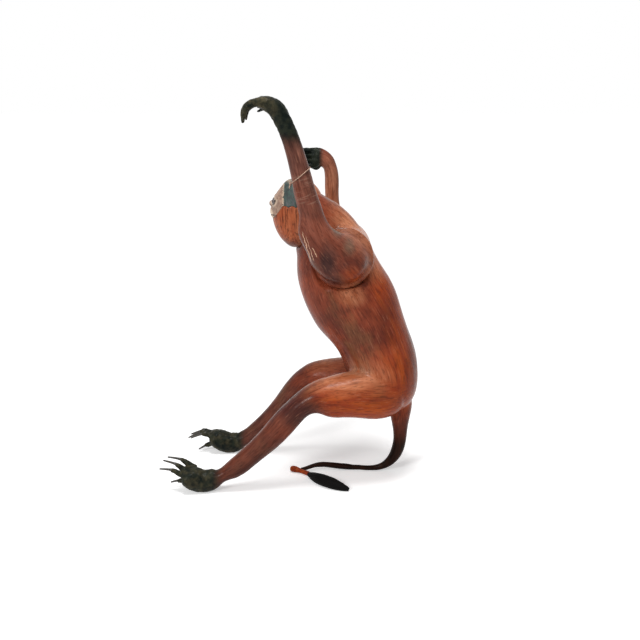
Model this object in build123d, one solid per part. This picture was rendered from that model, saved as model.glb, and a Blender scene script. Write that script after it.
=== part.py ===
import math
import os
from build123d import *

# A carved and painted wooden monkey that sits on its heels and tail with both arms raised.
# It faces -X, its left side is -Y and +Z is up. Sizes are millimetres.
# A station is (x, y, z, half width, half depth): one ellipse set square to the limb at that place.

# Torso, from the top of the neck down the spine to the underside of the rump
TORSO_STATIONS = [
    (-29.0, 0.0, 352.0, 8.0, 9.0),
    (-24.0, 0.0, 346.0, 20.0, 22.0),
    (-14.0, 0.0, 333.0, 30.0, 32.8),
    (3.4, 0.0, 314.2, 36.0, 39.8),
    (13.0, 0.0, 295.0, 41.0, 44.8),
    (20.0, 0.0, 272.0, 44.0, 49.8),
    (29.8, 0.0, 248.4, 46.0, 53.0),
    (40.2, 0.0, 228.2, 47.5, 53.8),
    (54.4, 0.0, 204.2, 48.0, 49.8),
    (68.0, 0.0, 176.0, 49.5, 45.6),
    (76.8, 0.0, 150.0, 51.5, 45.2),
    (80.3, 0.0, 127.0, 52.0, 43.8),
    (81.5, 0.0, 107.0, 46.0, 39.5),
    (82.5, 0.0, 93.5, 34.0, 30.0),
    (83.0, 0.0, 86.5, 14.0, 13.0),
]

# Head: level slices from the throat to the crown
HEAD_STATIONS = [
    (-23.5, 0.0, 297.0, 10.0, 8.5),
    (-24.3, 0.0, 303.0, 20.5, 18.5),
    (-24.2, 0.0, 312.5, 27.0, 26.0),
    (-25.4, 0.0, 326.0, 30.5, 30.2),
    (-26.2, 0.0, 340.0, 30.5, 31.8),
    (-26.4, 0.0, 354.0, 28.0, 30.2),
    (-27.0, 0.0, 366.0, 22.0, 24.0),
    (-28.2, 0.0, 374.2, 14.5, 16.8),
    (-28.8, 0.0, 378.4, 5.5, 7.0),
]
FACE_PLANE_X = -44.5
FACE_CORNER_Z = 348.0
CHIN_X = -57.5
CHIN_Z = 329.5
MUZZLE_CENTRE = (-49.5, 0.0, 339.5)
MUZZLE_REACH = 10.8
MUZZLE_RADIUS = 11.5
NOSE_CENTRE = (-57.2, 0.0, 349.3)
NOSE_HALF_WIDTH = 5.2
NOSE_RADIUS = 4.1
BROW_CENTRE = (-51.0, 0.0, 357.0)
BROW_HALF_WIDTH = 17.0
BROW_RADIUS = 4.3
MOUTH_Z = 336.0
MOUTH_GAP = 1.0
MOUTH_DEPTH = 1.6
EYE_X = -54.6
EYE_SPREAD = 10.0
EYE_Z = 352.6
EYE_RADIUS = 3.4
HOOD_EDGE_Z = 346.6
HOOD_DEPTH = 27.0
SCALLOP_RADIUS = 5.4
SCALLOP_RISE = 2.3
SCALLOP_PITCH = 9.0
SCALLOP_FIRST_X = -41.7
SCALLOP_COUNT = 4
EAR_CENTRE_X = -13.0
EAR_CENTRE_Z = 353.5
EAR_SPREAD = 26.5
EAR_RADIUS = 9.0
EAR_HALF_THICKNESS = 5.0
EAR_TILT = (-0.45, 1.0, 0.15)
EAR_HOLLOW_RADIUS = 6.6
EAR_HOLLOW_DEPTH = 2.4

# Legs, from inside the hip over the knee to the ankle
LEFT_LEG_STATIONS = [
    (102.5, -20.0, 119.0, 9.0, 10.0),
    (98.5, -21.0, 118.5, 18.0, 20.0),
    (90.0, -24.0, 117.5, 25.0, 28.0),
    (76.0, -29.0, 118.0, 29.0, 32.5),
    (56.0, -37.0, 119.6, 29.0, 31.1),
    (32.0, -44.0, 120.3, 26.5, 27.8),
    (9.0, -49.0, 119.2, 23.5, 24.4),
    (-9.2, -51.5, 117.8, 20.0, 18.2),
    (-23.8, -53.0, 109.2, 17.5, 14.9),
    (-38.0, -53.8, 94.9, 16.2, 15.3),
    (-61.0, -55.0, 69.0, 15.0, 14.6),
    (-86.2, -56.5, 45.4, 12.7, 12.7),
    (-109.5, -57.8, 26.8, 10.5, 11.0),
    (-127.5, -58.2, 18.0, 10.0, 11.0),
]
RIGHT_LEG_STATIONS = [
    (102.5, 20.0, 119.0, 9.0, 10.0),
    (98.5, 21.0, 118.5, 18.0, 20.0),
    (90.0, 24.0, 117.5, 25.0, 28.0),
    (76.0, 29.0, 117.5, 29.0, 32.0),
    (56.0, 37.0, 116.5, 29.0, 30.0),
    (32.0, 44.0, 114.0, 26.5, 27.0),
    (9.0, 49.5, 112.6, 23.5, 24.0),
    (-10.0, 52.5, 109.6, 20.0, 20.4),
    (-23.5, 54.0, 101.0, 17.5, 17.8),
    (-35.5, 55.0, 88.0, 16.2, 16.6),
    (-52.5, 57.0, 65.2, 15.0, 15.2),
    (-73.5, 59.0, 43.8, 12.7, 13.0),
    (-93.5, 61.0, 27.2, 10.5, 10.8),
    (-108.0, 62.0, 18.0, 10.0, 10.4),
]

# Feet, from the ankle to the toes; the floor takes a small flat off each heel
LEFT_FOOT_STATIONS = [
    (-137.0, -58.5, 13.9, 11.5, 13.6),
    (-147.0, -58.7, 13.4, 13.5, 14.4),
    (-157.0, -59.0, 16.4, 15.0, 14.4),
    (-165.0, -59.5, 18.2, 15.0, 11.6),
    (-169.5, -59.5, 18.2, 11.5, 8.6),
]
RIGHT_FOOT_STATIONS = [
    (-117.0, 62.6, 13.9, 11.5, 13.6),
    (-127.0, 63.0, 13.4, 13.5, 14.4),
    (-137.0, 63.6, 17.0, 15.0, 13.8),
    (-146.0, 64.0, 20.3, 15.0, 11.2),
    (-151.0, 64.0, 20.6, 11.5, 8.2),
]
# Each toe is (base, knuckle, claw tip)
LEFT_TOES = [
    ((-155.5, -51.0, 26.0), (-171.0, -49.0, 36.8), (-189.5, -47.5, 40.0)),
    ((-160.0, -58.0, 22.5), (-176.5, -56.5, 33.2), (-193.6, -56.0, 39.2)),
    ((-162.0, -65.5, 20.5), (-180.5, -65.5, 30.2), (-196.5, -67.0, 32.8)),
    ((-162.0, -59.0, 14.5), (-174.0, -58.5, 13.2), (-185.0, -57.5, 10.8)),
]
RIGHT_TOES = [
    ((-141.0, 70.0, 22.0), (-161.0, 72.0, 27.6), (-178.5, 73.0, 21.5)),
    ((-142.0, 64.0, 23.0), (-163.0, 64.5, 28.8), (-181.0, 64.5, 19.5)),
    ((-141.0, 58.0, 23.0), (-160.0, 56.5, 28.8), (-176.5, 56.0, 22.5)),
    ((-141.0, 62.5, 15.0), (-157.0, 62.0, 9.6), (-166.5, 61.5, 3.8)),
]
TOE_BASE_RADIUS = 5.0
TOE_KNUCKLE_RADIUS = 2.9
CLAW_RADIUS = 1.15
CLAW_TIP_RADIUS = 0.7
CLAW_SET_DEPTH = 5.0

# Arms: a turned root in a socket at the shoulder, then the upper arm up to the seam at the elbow
SHOULDER_X = 27.0
SHOULDER_SPREAD = 33.0
SHOULDER_Z = 288.5
SHOULDER_RADIUS = 35.0
SHOULDER_CROWN = 16.0
SHOULDER_DEPTH = 15.0
SHOULDER_INNER_RADIUS = 31.0
SHOULDER_CLEARANCE = 0.3
YOKE_RADIUS = 37.0
SOCKET_FLARE_RUN = 24.0
SOCKET_FLARE_RADIUS = 56.0
LEFT_UPPER_ARM_STATIONS = [
    (40.5, -36.0, 264.5, 9.0, 9.0),
    (37.0, -38.5, 270.0, 18.5, 19.5),
    (29.5, -43.0, 282.5, 24.5, 28.0),
    (20.0, -48.5, 295.0, 22.0, 25.0),
    (11.0, -54.5, 306.0, 19.0, 20.5),
    (3.0, -59.0, 316.0, 16.8, 17.4),
    (-4.0, -61.0, 327.5, 15.2, 15.4),
    (-9.5, -62.0, 343.0, 14.0, 14.1),
    (-14.2, -62.0, 359.0, 13.0, 13.1),
    (-18.3, -62.0, 374.0, 12.3, 12.3),
]
RIGHT_UPPER_ARM_STATIONS = [
    (27.0, 34.0, 288.5, 28.0, 28.0),
    (27.0, 48.0, 289.8, 25.0, 25.5),
    (27.0, 63.0, 291.2, 20.0, 20.5),
    (27.0, 85.0, 293.0, 16.0, 16.2),
    (26.5, 107.0, 295.0, 14.4, 14.5),
    (25.0, 123.0, 298.5, 13.5, 13.5),
    (21.5, 135.0, 306.5, 12.9, 12.9),
    (18.5, 139.6, 317.0, 12.3, 12.3),
]
ELBOW_GAP = 0.2
SEAM_RUN = 3.0
SEAM_TRIM = 20.0
LEFT_ELBOW_AXIS = (-0.2225, 0.0, 0.9749)
RIGHT_ELBOW_AXIS = (-0.08, 0.0, 0.9968)
LEFT_FOREARM_STATIONS = [
    (-24.2, -62.0, 399.0, 10.8, 10.9),
    (-30.9, -62.0, 422.0, 10.0, 10.1),
    (-38.0, -62.0, 441.0, 9.7, 9.8),
    (-43.8, -62.0, 452.5, 9.8, 9.9),
]
RIGHT_FOREARM_STATIONS = [
    (16.6, 140.0, 339.0, 10.2, 10.3),
    (16.2, 140.0, 360.0, 9.6, 9.7),
    (15.4, 140.0, 374.0, 9.2, 9.3),
    (12.5, 140.0, 385.0, 9.2, 9.2),
]

# Hands: the left one hooks over with its back up, the right one with its palm to the head
LEFT_HAND_STATIONS = [
    (-51.5, -62.0, 462.4, 10.5, 9.6),
    (-60.5, -62.0, 466.5, 12.5, 8.0),
    (-67.0, -62.0, 467.0, 13.5, 6.2),
    (-70.5, -62.0, 466.4, 12.5, 4.6),
]
RIGHT_HAND_STATIONS = [
    (5.5, 140.0, 392.6, 9.5, 11.0),
    (-1.5, 139.8, 394.8, 8.0, 12.8),
    (-8.0, 139.5, 394.4, 6.4, 13.6),
    (-12.0, 139.0, 394.2, 4.8, 12.6),
]
FINGER_COUNT = 4
FINGER_PITCH = 6.9
# One finger as (reach, drop, half width, half depth): reach runs on from the palm,
# drop curls toward its inner side
FINGER_STATIONS = [
    (0.0, 0.0, 3.1, 4.0),
    (6.0, -0.4, 3.3, 4.5),
    (12.0, 1.2, 3.3, 4.5),
    (17.6, 4.8, 3.2, 4.0),
    (21.0, 10.2, 2.6, 3.0),
    (22.0, 16.4, 1.9, 2.1),
    (22.6, 22.4, 0.9, 0.9),
]
FINGER_LENGTHS = [0.9, 1.0, 0.98, 0.86]
LEFT_FINGER_ROOT = (-63.5, -62.0, 467.2)
RIGHT_FINGER_ROOT = (-6.0, 139.3, 394.2)
LEFT_THUMB = [
    (-58.5, -54.5, 462.6, 2.6, 2.6),
    (-64.5, -53.5, 459.8, 2.0, 2.0),
    (-70.3, -53.0, 457.4, 0.8, 0.8),
]
RIGHT_THUMB = [
    (1.0, 135.6, 386.2, 2.7, 2.7),
    (-6.0, 130.6, 381.0, 2.3, 2.3),
    (-12.6, 128.0, 382.2, 0.9, 0.9),
]

# Tail: out of the rump, down, then forward along the floor to its stick and tuft
TAIL_STATIONS = [
    (101.8, 0.0, 104.0, 16.0, 16.0),
    (103.2, 0.0, 86.0, 14.4, 14.4),
    (103.4, 0.0, 66.0, 10.6, 10.6),
    (103.5, 0.0, 48.0, 8.5, 8.5),
    (101.0, 0.5, 31.0, 7.9, 7.9),
    (92.5, 1.0, 14.8, 6.3, 6.3),
    (81.0, 1.5, 6.0, 4.4, 4.4),
    (70.0, 2.0, 3.2, 3.7, 3.7),
    (55.0, 2.5, 3.2, 3.7, 3.7),
    (27.0, 3.0, 5.2, 3.9, 3.9),
    (2.0, 2.0, 7.8, 3.4, 3.4),
    (-11.0, -1.0, 6.6, 2.9, 2.9),
    (-25.0, -6.0, 4.8, 2.4, 2.4),
]
TAIL_TIP_STATIONS = [
    (-38.5, -2.0, 4.2, 1.6, 1.6),
    (-36.5, -3.0, 4.2, 3.8, 3.8),
    (-33.0, -4.6, 4.2, 4.2, 4.2),
    (-28.0, -7.4, 4.0, 3.4, 3.4),
    (-21.0, -12.4, 3.6, 2.9, 2.9),
    (-14.6, -18.6, 3.6, 2.8, 2.8),
]
TAIL_TUFT_STATIONS = [
    (-8.0, -28.5, 4.8, 5.4, 5.4),
    (2.0, -41.5, 6.6, 7.2, 7.2),
    (13.0, -50.5, 6.6, 7.2, 7.2),
    (24.5, -57.0, 5.0, 5.6, 5.6),
    (36.0, -61.5, 2.6, 2.2, 2.2),
]

# Dowels inside the joints
NECK_DOWEL_ENDS = ((4.0, 0.0, 304.0), (-20.0, 0.0, 338.0))
NECK_DOWEL_RADIUS = 7.0
HIP_DOWEL_X = 62.0
HIP_DOWEL_Z = 118.0
HIP_DOWEL_INNER = 16.0
HIP_DOWEL_OUTER = 52.0
HIP_DOWEL_RADIUS = 6.0
SHOULDER_DOWEL_INNER = 5.0
SHOULDER_DOWEL_OUTER = 56.0
SHOULDER_DOWEL_RADIUS = 7.0
ELBOW_DOWEL_RADIUS = 5.0
ELBOW_DOWEL_REACH = 14.0
WRIST_DOWEL_RADIUS = 3.5
WRIST_DOWEL_REACH = 8.0
ANKLE_DOWEL_RADIUS = 4.0
ANKLE_DOWEL_REACH = 10.0
TAIL_DOWEL_ENDS = ((103.5, 0.0, 112.0), (104.2, 0.0, 72.0))
TAIL_DOWEL_RADIUS = 4.5
RUNNING_CLEARANCE = 0.06
END_CLEARANCE = 0.5

# Twine tied slantwise round the left forearm above the elbow
TWINE_RADIUS = 0.8
TWINE_CENTRE = (-21.6, -62.0, 388.0)
TWINE_HALF_LENGTH = 13.6
TWINE_HALF_WIDTH = 12.2
TWINE_SLOPE = (0.775, 0.0, 0.632)
KNOT_CENTRE = (-32.8, -63.5, 379.2)
KNOT_RADIUS = 2.5

BIG = 400.0
BEAD_STEPS = 5
BEAD_LATITUDE = 82.0


def tangent(stations, index):
    """Direction of the limb at one station, from the stations beside it."""
    before = Vector(*stations[max(index - 1, 0)][:3])
    after = Vector(*stations[min(index + 1, len(stations) - 1)][:3])
    return after - before


def carve(stations, side=(0, 1, 0), start=None, end=None):
    """A limb lofted through its stations, with half widths measured along side."""
    sections = []
    last = len(stations) - 1
    for index, (x, y, z, half_width, half_depth) in enumerate(stations):
        direction = tangent(stations, index)
        if index == 0 and start is not None:
            direction = Vector(*start)
        if index == last and end is not None:
            direction = Vector(*end)
        plane = Plane(origin=(x, y, z), x_dir=side, z_dir=direction)
        sections.append(plane * Ellipse(half_width, half_depth))
    return loft(sections)


def rod(start, end, radius, end_radius=None):
    """A round rod between two points, tapered when a second radius is given."""
    axis = Vector(*end) - Vector(*start)
    plane = Plane(origin=start, z_dir=axis)
    if end_radius is None:
        return plane * Cylinder(radius, axis.length, align=(Align.CENTER, Align.CENTER, Align.MIN))
    return plane * Cone(radius, end_radius, axis.length, align=(Align.CENTER, Align.CENTER, Align.MIN))


def bead(centre, axis, half_length, radius):
    """A rounded form about an axis, lofted through round slices, with its half length along the axis."""
    sections = []
    for step in range(-BEAD_STEPS, BEAD_STEPS + 1):
        angle = math.radians(BEAD_LATITUDE * step / BEAD_STEPS)
        level = ahead(centre, axis, half_length * math.sin(angle))
        sections.append(Plane(origin=level, z_dir=axis) * Circle(radius * math.cos(angle)))
    return loft(sections)


def shoulder_taper(sign, grow):
    """The tapered inner end of an arm's root, round the shoulder's axis."""
    ring = (SHOULDER_X, sign * SHOULDER_SPREAD, SHOULDER_Z)
    back = ahead(ring, (0, sign, 0), -SHOULDER_DEPTH - grow)
    return rod(back, ring, SHOULDER_INNER_RADIUS + grow, SHOULDER_RADIUS + grow)


def shoulder_crown(sign):
    """The round outer side of an arm's root: a slice off a ball."""
    ball_radius = (SHOULDER_RADIUS**2 + SHOULDER_CROWN**2) / (2 * SHOULDER_CROWN)
    ball_spread = SHOULDER_SPREAD + SHOULDER_CROWN - ball_radius
    ball_plane = Plane(origin=(SHOULDER_X, sign * ball_spread, SHOULDER_Z), z_dir=(0, sign, 0))
    outside = Pos(SHOULDER_X, sign * (SHOULDER_SPREAD + BIG / 2), SHOULDER_Z) * Box(BIG, BIG, BIG)
    return (ball_plane * Sphere(ball_radius)) & outside


def ahead(point, direction, distance):
    """The point a distance along a direction."""
    return tuple(Vector(*point) + Vector(*direction).normalized() * distance)


pieces = {}

# Torso before the joints are cut, with a round yoke from shoulder to shoulder
torso = carve(TORSO_STATIONS)
yoke_left = (SHOULDER_X, -SHOULDER_SPREAD, SHOULDER_Z)
yoke_right = (SHOULDER_X, SHOULDER_SPREAD, SHOULDER_Z)
torso += rod(yoke_left, yoke_right, YOKE_RADIUS)

# Head, face and hood: one egg-shaped form parted by flat saw cuts
skull = carve(HEAD_STATIONS, end=(0, 0, 1), start=(0, 0, 1))
skull += bead(MUZZLE_CENTRE, (-1, 0, 0), MUZZLE_REACH, MUZZLE_RADIUS)
skull += bead(NOSE_CENTRE, (0, 1, 0), NOSE_HALF_WIDTH, NOSE_RADIUS)
skull += bead(BROW_CENTRE, (0, 1, 0), BROW_HALF_WIDTH, BROW_RADIUS)
mouth_x, mouth_y, _ = MUZZLE_CENTRE
mouth_outer = Ellipse(MUZZLE_REACH + MOUTH_DEPTH, MUZZLE_RADIUS + MOUTH_DEPTH)
mouth_inner = Ellipse(MUZZLE_REACH - MOUTH_DEPTH, MUZZLE_RADIUS - MOUTH_DEPTH)
mouth = Pos(mouth_x, mouth_y, MOUTH_Z) * extrude(mouth_outer - mouth_inner, MOUTH_GAP)
mouth &= Pos(mouth_x - BIG / 2, 0, MOUTH_Z) * Box(BIG, BIG, BIG)
skull -= mouth

face_outline = Polyline(
    (FACE_PLANE_X, BIG),
    (FACE_PLANE_X, FACE_CORNER_Z),
    (CHIN_X, CHIN_Z),
    (-BIG, CHIN_Z),
    (-BIG, BIG),
    close=True,
)
face_block = extrude(Plane.XZ * make_face(face_outline), BIG / 2, both=True)
hood_block = Pos(FACE_PLANE_X + HOOD_DEPTH / 2, 0, HOOD_EDGE_Z + BIG / 2) * Box(HOOD_DEPTH, BIG, BIG)
scallop_z = HOOD_EDGE_Z + SCALLOP_RISE - SCALLOP_RADIUS
for index in range(SCALLOP_COUNT):
    scallop_x = SCALLOP_FIRST_X + index * SCALLOP_PITCH
    hood_block -= Pos(scallop_x, 0, scallop_z) * Rot(90, 0, 0) * Cylinder(SCALLOP_RADIUS, BIG)
face = skull & face_block
rest = skull - face_block
hood = rest & hood_block
head = rest - hood_block
for name, sign in (("left", -1), ("right", 1)):
    eye = Pos(EYE_X, sign * EYE_SPREAD, EYE_Z) * Sphere(EYE_RADIUS)
    face -= eye
    ear_centre = (EAR_CENTRE_X, sign * EAR_SPREAD, EAR_CENTRE_Z)
    ear_axis = (EAR_TILT[0], sign * EAR_TILT[1], EAR_TILT[2])
    ear = bead(ear_centre, ear_axis, EAR_HALF_THICKNESS, EAR_RADIUS)
    ear_mouth = ahead(ear_centre, ear_axis, EAR_HALF_THICKNESS)
    hood -= ear
    head -= ear
    ear -= bead(ear_mouth, ear_axis, EAR_HOLLOW_DEPTH, EAR_HOLLOW_RADIUS)
    ear -= torso
    pieces[name + "_eye"] = eye
    pieces[name + "_ear"] = ear
torso -= skull
neck_dowel = rod(*NECK_DOWEL_ENDS, NECK_DOWEL_RADIUS)
torso -= neck_dowel
head -= neck_dowel

# Shoulders: the turned root of each arm sits in a round socket, open to the side, on a lateral dowel
for name, sign in (("left", -1), ("right", 1)):
    ring = (SHOULDER_X, sign * SHOULDER_SPREAD, SHOULDER_Z)
    flare_end = ahead(ring, (0, sign, 0), SOCKET_FLARE_RUN)
    side_way = rod(ring, flare_end, SHOULDER_RADIUS + SHOULDER_CLEARANCE, SOCKET_FLARE_RADIUS)
    torso -= shoulder_taper(sign, SHOULDER_CLEARANCE) + side_way
    inner = (SHOULDER_X, sign * SHOULDER_DOWEL_INNER, SHOULDER_Z)
    outer = (SHOULDER_X, sign * SHOULDER_DOWEL_OUTER, SHOULDER_Z)
    dowel = rod(inner, outer, SHOULDER_DOWEL_RADIUS)
    hole_end = (SHOULDER_X, sign * (SHOULDER_DOWEL_INNER - END_CLEARANCE), SHOULDER_Z)
    torso -= rod(hole_end, outer, SHOULDER_DOWEL_RADIUS + RUNNING_CLEARANCE)
    pieces[name + "_shoulder_dowel"] = dowel
    pieces[name + "_upper_arm"] = shoulder_taper(sign, 0.0) + shoulder_crown(sign)

# Arms: upper arm, forearm and hand meet on flat faces square to the limb
left_limb = (LEFT_UPPER_ARM_STATIONS, LEFT_FOREARM_STATIONS, LEFT_HAND_STATIONS)
right_limb = (RIGHT_UPPER_ARM_STATIONS, RIGHT_FOREARM_STATIONS, RIGHT_HAND_STATIONS)
arms = (
    ("left", left_limb, LEFT_ELBOW_AXIS, (0, 1, 0)),
    ("right", right_limb, RIGHT_ELBOW_AXIS, (1, 0, 0)),
)
for name, (upper_stations, fore_stations, hand_stations), elbow_axis, side in arms:
    elbow = upper_stations[-1]
    over_elbow = (*ahead(elbow[:3], elbow_axis, SEAM_RUN), elbow[3], elbow[4])
    upper = pieces[name + "_upper_arm"] + carve(upper_stations + [over_elbow], side, end=elbow_axis)
    upper -= pieces[name + "_shoulder_dowel"]
    seam = ahead(elbow[:3], elbow_axis, ELBOW_GAP)
    wrist = fore_stations[-1]
    wrist_axis = tangent(fore_stations + hand_stations[:1], len(fore_stations) - 1)
    under_seam = (*ahead(seam, elbow_axis, -SEAM_RUN), elbow[3], elbow[4])
    fore = carve([under_seam] + fore_stations, (0, 1, 0), start=elbow_axis, end=wrist_axis)
    hand = carve([wrist] + hand_stations, (0, 1, 0), start=wrist_axis)
    above = Plane(origin=elbow[:3], z_dir=elbow_axis)
    below = Plane(origin=seam, z_dir=tuple(-Vector(*elbow_axis)))
    trim = Box(2 * SEAM_TRIM, 2 * SEAM_TRIM, SEAM_TRIM, align=(Align.CENTER, Align.CENTER, Align.MIN))
    upper -= above * trim
    fore -= below * trim
    elbow_low = ahead(elbow[:3], elbow_axis, -ELBOW_DOWEL_REACH)
    elbow_high = ahead(elbow[:3], elbow_axis, ELBOW_DOWEL_REACH)
    elbow_dowel = rod(elbow_low, elbow_high, ELBOW_DOWEL_RADIUS)
    hole_end = ahead(elbow_high, elbow_axis, END_CLEARANCE)
    upper -= elbow_dowel
    fore -= rod(elbow_low, hole_end, ELBOW_DOWEL_RADIUS + RUNNING_CLEARANCE)
    wrist_low = ahead(wrist[:3], wrist_axis, -WRIST_DOWEL_REACH)
    wrist_high = ahead(wrist[:3], wrist_axis, WRIST_DOWEL_REACH)
    wrist_dowel = rod(wrist_low, wrist_high, WRIST_DOWEL_RADIUS)
    fore -= wrist_dowel
    hand -= wrist_dowel
    pieces[name + "_upper_arm"] = upper
    pieces[name + "_forearm"] = fore
    pieces[name + "_hand"] = hand
    pieces[name + "_elbow_dowel"] = elbow_dowel
    pieces[name + "_wrist_dowel"] = wrist_dowel

# Fingers and thumbs are set into the ends of the palms
fingers = (
    ("left", LEFT_FINGER_ROOT, (0, 1, 0), (0, 0, -1), LEFT_THUMB),
    ("right", RIGHT_FINGER_ROOT, (0, 0, 1), (0, -1, 0), RIGHT_THUMB),
)
for name, root, spread, curl, thumb_stations in fingers:
    hand = pieces[name + "_hand"]
    for index in range(FINGER_COUNT):
        offset = (index - (FINGER_COUNT - 1) / 2) * FINGER_PITCH
        base = Vector(*root) + Vector(*spread) * offset
        length = FINGER_LENGTHS[index]
        stations = []
        for reach, drop, half_width, half_depth in FINGER_STATIONS:
            point = base + Vector(-1, 0, 0) * (reach * length) + Vector(*curl) * (drop * length)
            stations.append((*point, half_width, half_depth))
        finger = carve(stations, spread)
        hand -= finger
        pieces[name + "_finger_" + str(index + 1)] = finger
    thumb = carve(thumb_stations)
    hand -= thumb
    pieces[name + "_thumb"] = thumb
    pieces[name + "_hand"] = hand

# Legs and feet: the thigh is hollowed to sit on the torso, the foot meets the shin on a flat face
floor_block = Pos(0, 0, -BIG / 2) * Box(3 * BIG, 3 * BIG, BIG)
torso_outside = carve(TORSO_STATIONS)
legs = (
    ("left", -1, LEFT_LEG_STATIONS, LEFT_FOOT_STATIONS, LEFT_TOES),
    ("right", 1, RIGHT_LEG_STATIONS, RIGHT_FOOT_STATIONS, RIGHT_TOES),
)
for name, sign, leg_stations, foot_stations, toes in legs:
    ankle = leg_stations[-1]
    ankle_axis = tangent(leg_stations + foot_stations[:1], len(leg_stations) - 1)
    leg = carve(leg_stations, end=ankle_axis) - torso_outside
    foot = carve([ankle] + foot_stations, start=ankle_axis)
    hip_inner = (HIP_DOWEL_X, sign * HIP_DOWEL_INNER, HIP_DOWEL_Z)
    hip_outer = (HIP_DOWEL_X, sign * HIP_DOWEL_OUTER, HIP_DOWEL_Z)
    hip_dowel = rod(hip_inner, hip_outer, HIP_DOWEL_RADIUS)
    torso -= hip_dowel
    leg -= hip_dowel
    ankle_low = ahead(ankle[:3], ankle_axis, -ANKLE_DOWEL_REACH)
    ankle_high = ahead(ankle[:3], ankle_axis, ANKLE_DOWEL_REACH)
    ankle_dowel = rod(ankle_low, ankle_high, ANKLE_DOWEL_RADIUS)
    leg -= ankle_dowel
    for base, knuckle, _ in toes:
        foot += rod(base, knuckle, TOE_BASE_RADIUS, TOE_KNUCKLE_RADIUS)
        foot += Pos(*knuckle) * Sphere(TOE_KNUCKLE_RADIUS)
    foot -= ankle_dowel
    foot -= floor_block
    for index, (_, knuckle, tip) in enumerate(toes):
        back = Vector(*knuckle) - Vector(*tip)
        claw_root = ahead(knuckle, back, CLAW_SET_DEPTH)
        claw = rod(claw_root, tip, CLAW_RADIUS, CLAW_TIP_RADIUS)
        foot -= claw
        pieces[name + "_claw_" + str(index + 1)] = claw
    pieces[name + "_leg"] = leg
    pieces[name + "_foot"] = foot
    pieces[name + "_hip_dowel"] = hip_dowel
    pieces[name + "_ankle_dowel"] = ankle_dowel

# Tail, the stick that its end is bound to, and the tuft
tip_axis = tangent(TAIL_TIP_STATIONS + TAIL_TUFT_STATIONS[:1], len(TAIL_TIP_STATIONS) - 1)
tail_tip = carve(TAIL_TIP_STATIONS, (0, 0, 1), end=tip_axis)
tail_tuft = carve([TAIL_TIP_STATIONS[-1]] + TAIL_TUFT_STATIONS, (0, 0, 1), start=tip_axis)
tail = carve(TAIL_STATIONS) - torso_outside - tail_tip - floor_block
tail_tip -= floor_block
tail_tuft -= floor_block
tail_dowel = rod(*TAIL_DOWEL_ENDS, TAIL_DOWEL_RADIUS)
torso -= tail_dowel
tail -= tail_dowel

# Twine round the left forearm, with its knot in front
twine_axis = Vector(*TWINE_SLOPE).cross(Vector(0, 1, 0))
twine_plane = Plane(origin=TWINE_CENTRE, x_dir=TWINE_SLOPE, z_dir=twine_axis)
twine_path = twine_plane * Edge.make_ellipse(TWINE_HALF_LENGTH, TWINE_HALF_WIDTH)
twine_start = Plane(origin=twine_path @ 0, z_dir=twine_path % 0)
twine = sweep(twine_start * Circle(TWINE_RADIUS), twine_path)
twine -= pieces["left_forearm"]
knot = bead(KNOT_CENTRE, (0, 1, 0), KNOT_RADIUS, KNOT_RADIUS) - pieces["left_forearm"]
twine -= knot

pieces["torso"] = torso
pieces["head"] = head
pieces["face"] = face
pieces["hood"] = hood
pieces["neck_dowel"] = neck_dowel
pieces["tail"] = tail
pieces["tail_tip"] = tail_tip
pieces["tail_tuft"] = tail_tuft
pieces["tail_dowel"] = tail_dowel
pieces["twine"] = twine
pieces["twine_knot"] = knot

# The frame's origin is the middle of the figure's outline on the floor, to a whole millimetre
whole = Compound(children=[Part() + shape for shape in pieces.values()]).bounding_box()
shift_x = -round(whole.center().X)
shift_y = -round(whole.center().Y)
placed = Pos(shift_x, shift_y, 0)

os.makedirs("parts", exist_ok=True)
for node, shape in pieces.items():
    export_step(placed * shape, "parts/" + node + ".step")
print("shift", shift_x, shift_y)
print("size", [round(value, 1) for value in whole.size])
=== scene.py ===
import math

import bmesh
import bpy
import numpy as np
from mathutils import Matrix, Vector, noise


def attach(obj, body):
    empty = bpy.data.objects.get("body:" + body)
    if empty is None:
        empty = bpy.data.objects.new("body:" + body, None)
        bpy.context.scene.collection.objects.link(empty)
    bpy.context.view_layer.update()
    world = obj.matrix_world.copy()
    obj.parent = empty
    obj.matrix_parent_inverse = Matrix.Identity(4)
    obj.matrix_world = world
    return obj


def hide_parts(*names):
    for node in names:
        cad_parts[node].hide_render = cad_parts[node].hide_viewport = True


# A carved, painted and lacquered wooden monkey that sits on its heels and tail with its arms raised.
# It faces -X and its left side is -Y.
# Meshes are in metres; limbs and paint patches are written in millimetres.

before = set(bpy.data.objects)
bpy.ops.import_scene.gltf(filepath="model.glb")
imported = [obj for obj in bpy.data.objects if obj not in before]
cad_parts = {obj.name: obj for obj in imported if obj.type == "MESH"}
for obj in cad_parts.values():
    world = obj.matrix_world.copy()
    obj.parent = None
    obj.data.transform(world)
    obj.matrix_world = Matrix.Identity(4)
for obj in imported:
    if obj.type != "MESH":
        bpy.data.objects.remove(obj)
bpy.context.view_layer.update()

MM = 0.001
SCENE = bpy.context.scene
SIDES = ("left", "right")
PLUG_SIDES = 32
SOFTENING = 0.4

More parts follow.
